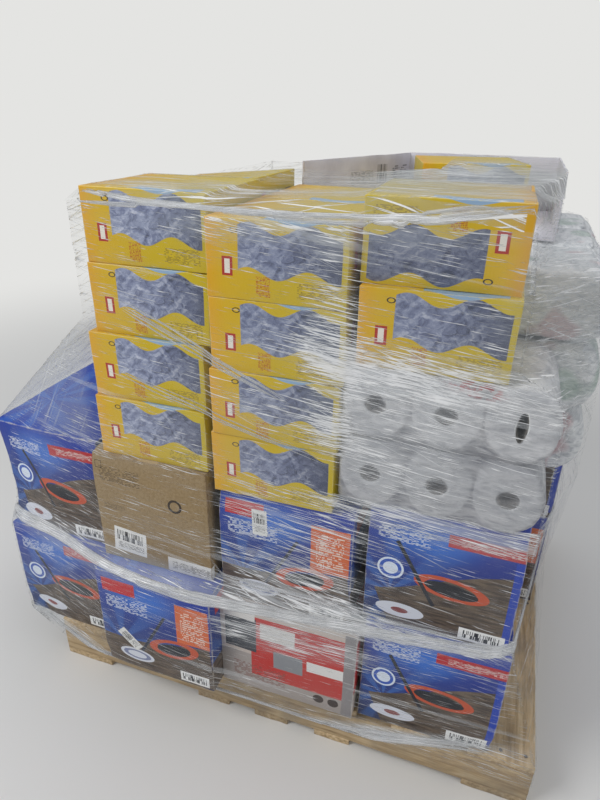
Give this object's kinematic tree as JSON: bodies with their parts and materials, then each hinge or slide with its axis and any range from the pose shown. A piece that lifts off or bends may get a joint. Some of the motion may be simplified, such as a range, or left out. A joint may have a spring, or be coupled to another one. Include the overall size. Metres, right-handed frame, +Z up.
{
  "type": "stretch-wrapped pallet load",
  "caption": "Mixed load of printed cartons and paper-towel packs stacked on a wooden stringer pallet and wound with clear stretch film.",
  "frame": {"origin": "middle of the pallet's underside, on the floor", "axes": "+Z up, the load's front faces -Y, +X to the right along the pallet's long side"},
  "size_m": [1.3374, 1.086, 1.2774],
  "materials": {
    "pallet_wood": "rough sawn",
    "blue_board": "printed, satin",
    "kraft_board": "plain kraft",
    "red_board": "printed, satin",
    "yellow_board": "printed, satin",
    "white_board": "plain white liner",
    "towel_paper": "soft tissue",
    "clear_film": "clear, stretched"
  },
  "bodies": {
    "root": {"back_cartons_high": "blue_board", "back_cartons_low": "blue_board", "blue_carton_high_middle": "blue_board", "blue_carton_high_outer": "blue_board", "blue_carton_high_right": "blue_board", "blue_carton_low_left": "blue_board", "blue_carton_low_outer": "blue_board", "blue_carton_low_right": "blue_board", "bottom_boards": "pallet_wood", "deck_boards": "pallet_wood", "display_tray": "white_board", "kraft_carton": "kraft_board", "red_carton": "red_board", "stretch_film": "clear_film", "stringer_back": "pallet_wood", "stringer_front": "pallet_wood", "stringer_middle": "pallet_wood", "towel_packs_back_row": "towel_paper", "towel_packs_second_row": "towel_paper", "towel_packs_third_row": "towel_paper", "towel_rolls_front": "towel_paper", "yellow_in_tray": "yellow_board", "yellow_left_1": "yellow_board", "yellow_left_2": "yellow_board", "yellow_left_3": "yellow_board", "yellow_left_4": "yellow_board", "yellow_left_back_rows": "yellow_board", "yellow_left_second_row": "yellow_board", "yellow_middle_1": "yellow_board", "yellow_middle_2": "yellow_board", "yellow_middle_3": "yellow_board", "yellow_middle_4": "yellow_board", "yellow_middle_back_rows": "yellow_board", "yellow_middle_second_row": "yellow_board", "yellow_right_lower": "yellow_board", "yellow_right_upper": "yellow_board"}
  },
  "joints": []
}
